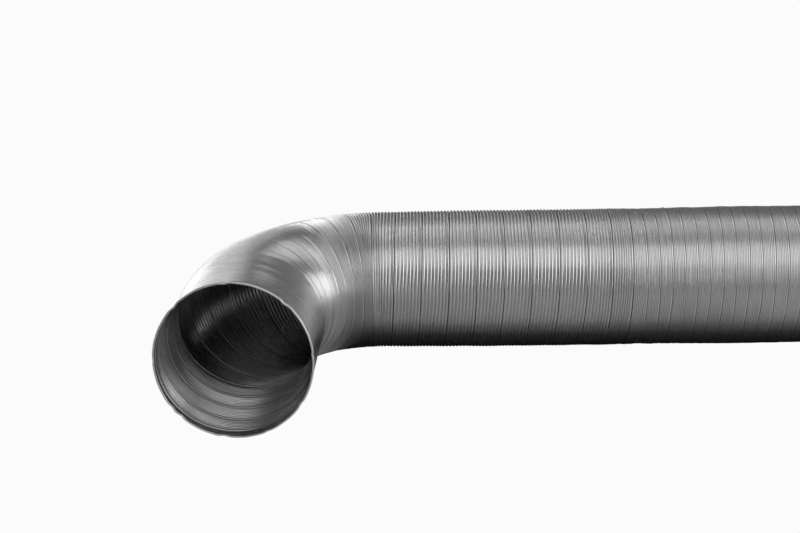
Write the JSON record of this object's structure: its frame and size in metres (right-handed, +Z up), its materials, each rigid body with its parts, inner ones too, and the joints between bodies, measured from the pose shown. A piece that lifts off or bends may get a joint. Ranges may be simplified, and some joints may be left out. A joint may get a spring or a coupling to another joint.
{
  "type": "flexible air duct",
  "caption": "Semi-rigid aluminium flexible air duct wound from one ribbed strip with lock seams, with a right-angle elbow at one end.",
  "frame": {"origin": "middle of the underside of the duct's overall box, on the surface it lies on", "axes": "+X along the long run from the elbow to the tail, +Z up, and the mouth faces -Y and slightly up"},
  "size_m": [0.6672, 0.2698, 0.132],
  "materials": {
    "aluminium_strip": "bright rolled foil strip, fine circumferential ribs",
    "folded_edge": "bright folded edge with small crimp dents"
  },
  "bodies": {
    "turn_01": {"mouth_edge_fold": "folded_edge", "strip_turn_01": "aluminium_strip"},
    "turn_03": {"strip_turn_02": "aluminium_strip", "strip_turn_03": "aluminium_strip"},
    "turn_05": {"strip_turn_04": "aluminium_strip", "strip_turn_05": "aluminium_strip"},
    "turn_07": {"strip_turn_06": "aluminium_strip", "strip_turn_07": "aluminium_strip"},
    "turn_09": {"strip_turn_08": "aluminium_strip", "strip_turn_09": "aluminium_strip"},
    "turn_11": {"strip_turn_10": "aluminium_strip", "strip_turn_11": "aluminium_strip"},
    "turn_13": {"strip_turn_12": "aluminium_strip", "strip_turn_13": "aluminium_strip", "strip_turn_14": "aluminium_strip"},
    "turn_15": {"strip_turn_15": "aluminium_strip", "strip_turn_16": "aluminium_strip"},
    "turn_17": {"strip_turn_17": "aluminium_strip", "strip_turn_18": "aluminium_strip"},
    "turn_19": {"strip_turn_19": "aluminium_strip", "strip_turn_20": "aluminium_strip"},
    "turn_21": {"strip_turn_21": "aluminium_strip", "strip_turn_22": "aluminium_strip"},
    "turn_23": {"strip_turn_23": "aluminium_strip", "strip_turn_24": "aluminium_strip"},
    "turn_25": {"strip_turn_25": "aluminium_strip", "strip_turn_26": "aluminium_strip"},
    "turn_27": {"strip_turn_27": "aluminium_strip", "strip_turn_28": "aluminium_strip"},
    "turn_29": {"strip_turn_29": "aluminium_strip", "strip_turn_30": "aluminium_strip"},
    "turn_31": {"strip_turn_31": "aluminium_strip", "strip_turn_32": "aluminium_strip"},
    "turn_33": {"strip_turn_33": "aluminium_strip", "strip_turn_34": "aluminium_strip"},
    "turn_35": {"strip_turn_35": "aluminium_strip", "strip_turn_36": "aluminium_strip"},
    "turn_37": {"strip_turn_37": "aluminium_strip", "strip_turn_38": "aluminium_strip"},
    "turn_39": {"strip_turn_39": "aluminium_strip", "strip_turn_40": "aluminium_strip"},
    "turn_41": {"strip_turn_41": "aluminium_strip", "strip_turn_42": "aluminium_strip"},
    "turn_43": {"strip_turn_43": "aluminium_strip", "strip_turn_44": "aluminium_strip", "tail_edge_fold": "folded_edge"}
  },
  "joints": [
    {"name": "elbow_bend", "type": "hinge", "parent": "turn_13", "child": "turn_11", "pos_m": [-0.17558, 0.06989, 0.0645], "axis": [0, 0, 1], "range_deg": [-23, 2.5], "deforming": ["strip_turn_12"]},
    {"name": "elbow_bend_2", "type": "hinge", "parent": "turn_11", "child": "turn_09", "pos_m": [-0.21519, 0.05759, 0.0645], "axis": [0, 0, 1], "range_deg": [-23, 2.5], "deforming": ["strip_turn_10"]},
    {"name": "elbow_bend_3", "type": "hinge", "parent": "turn_09", "child": "turn_07", "pos_m": [-0.24684, 0.03079, 0.0645], "axis": [0, 0, 1], "range_deg": [-23, 2.5], "deforming": ["strip_turn_08"]},
    {"name": "elbow_bend_4", "type": "hinge", "parent": "turn_07", "child": "turn_05", "pos_m": [-0.2655, -0.00624, 0.0645], "axis": [0, 0, 1], "range_deg": [-23, 2.5], "deforming": ["strip_turn_06"]},
    {"name": "mouth_lift", "type": "hinge", "parent": "turn_05", "child": "turn_03", "pos_m": [-0.26873, -0.04771, 0.0645], "axis": [-0.9994, -0.0349, 0], "range_deg": [-4, 9], "deforming": ["strip_turn_04"]},
    {"name": "mouth_lift_2", "type": "hinge", "parent": "turn_03", "child": "turn_01", "pos_m": [-0.26727, -0.08969, 0.06493], "axis": [-0.9994, -0.0349, 0], "range_deg": [-4, 9], "deforming": ["strip_turn_02"]},
    {"name": "open_run_stretch", "type": "slide", "parent": "turn_13", "child": "turn_15", "axis": [1, 0, 0], "range_m": [-0.021, 0.016], "deforming": ["strip_turn_14"]},
    {"name": "run_bend", "type": "hinge", "parent": "turn_15", "child": "turn_17", "pos_m": [-0.07766, 0.07041, 0.0645], "axis": [0, 0, 1], "range_deg": [-6, 6], "deforming": ["strip_turn_16"]},
    {"name": "open_run_stretch_2", "type": "slide", "parent": "turn_17", "child": "turn_19", "axis": [1, 0, 0], "range_m": [-0.021, 0.016], "deforming": ["strip_turn_18"]},
    {"name": "run_bend_2", "type": "hinge", "parent": "turn_19", "child": "turn_21", "pos_m": [0.02205, 0.07041, 0.0645], "axis": [0, 0, 1], "range_deg": [-6, 6], "deforming": ["strip_turn_20"]},
    {"name": "packed_run_stretch", "type": "slide", "parent": "turn_21", "child": "turn_23", "axis": [1, 0, 0], "range_m": [0, 0.03], "deforming": ["strip_turn_22"]},
    {"name": "run_bend_3", "type": "hinge", "parent": "turn_23", "child": "turn_25", "pos_m": [0.08884, 0.07041, 0.0645], "axis": [0, 0, 1], "range_deg": [-6, 6], "deforming": ["strip_turn_24"]},
    {"name": "packed_run_stretch_2", "type": "slide", "parent": "turn_25", "child": "turn_27", "axis": [1, 0, 0], "range_m": [0, 0.03], "deforming": ["strip_turn_26"]},
    {"name": "run_bend_4", "type": "hinge", "parent": "turn_27", "child": "turn_29", "pos_m": [0.13524, 0.07041, 0.0645], "axis": [0, 0, 1], "range_deg": [-6, 6], "deforming": ["strip_turn_28"]},
    {"name": "packed_run_stretch_3", "type": "slide", "parent": "turn_29", "child": "turn_31", "axis": [1, 0, 0], "range_m": [0, 0.03], "deforming": ["strip_turn_30"]},
    {"name": "run_bend_5", "type": "hinge", "parent": "turn_31", "child": "turn_33", "pos_m": [0.18164, 0.07041, 0.0645], "axis": [0, 0, 1], "range_deg": [-6, 6], "deforming": ["strip_turn_32"]},
    {"name": "packed_run_stretch_4", "type": "slide", "parent": "turn_33", "child": "turn_35", "axis": [1, 0, 0], "range_m": [0, 0.03], "deforming": ["strip_turn_34"]},
    {"name": "run_bend_6", "type": "hinge", "parent": "turn_35", "child": "turn_37", "pos_m": [0.22804, 0.07041, 0.0645], "axis": [0, 0, 1], "range_deg": [-6, 6], "deforming": ["strip_turn_36"]},
    {"name": "packed_run_stretch_5", "type": "slide", "parent": "turn_37", "child": "turn_39", "axis": [1, 0, 0], "range_m": [0, 0.03], "deforming": ["strip_turn_38"]},
    {"name": "run_bend_7", "type": "hinge", "parent": "turn_39", "child": "turn_41", "pos_m": [0.27444, 0.07041, 0.0645], "axis": [0, 0, 1], "range_deg": [-6, 6], "deforming": ["strip_turn_40"]},
    {"name": "packed_run_stretch_6", "type": "slide", "parent": "turn_41", "child": "turn_43", "axis": [1, 0, 0], "range_m": [0, 0.03], "deforming": ["strip_turn_42"]}
  ],
  "couplings": [
    {"joint": "elbow_bend_2", "follows": "elbow_bend", "ratio": 1},
    {"joint": "elbow_bend_3", "follows": "elbow_bend", "ratio": 1},
    {"joint": "elbow_bend_4", "follows": "elbow_bend", "ratio": 1},
    {"joint": "mouth_lift_2", "follows": "mouth_lift", "ratio": 1},
    {"joint": "open_run_stretch_2", "follows": "open_run_stretch", "ratio": 1},
    {"joint": "run_bend_2", "follows": "run_bend", "ratio": 1},
    {"joint": "run_bend_3", "follows": "run_bend", "ratio": 1},
    {"joint": "packed_run_stretch_2", "follows": "packed_run_stretch", "ratio": 1},
    {"joint": "run_bend_4", "follows": "run_bend", "ratio": 1},
    {"joint": "packed_run_stretch_3", "follows": "packed_run_stretch", "ratio": 1},
    {"joint": "run_bend_5", "follows": "run_bend", "ratio": 1},
    {"joint": "packed_run_stretch_4", "follows": "packed_run_stretch", "ratio": 1},
    {"joint": "run_bend_6", "follows": "run_bend", "ratio": 1},
    {"joint": "packed_run_stretch_5", "follows": "packed_run_stretch", "ratio": 1},
    {"joint": "run_bend_7", "follows": "run_bend", "ratio": 1},
    {"joint": "packed_run_stretch_6", "follows": "packed_run_stretch", "ratio": 1}
  ]
}
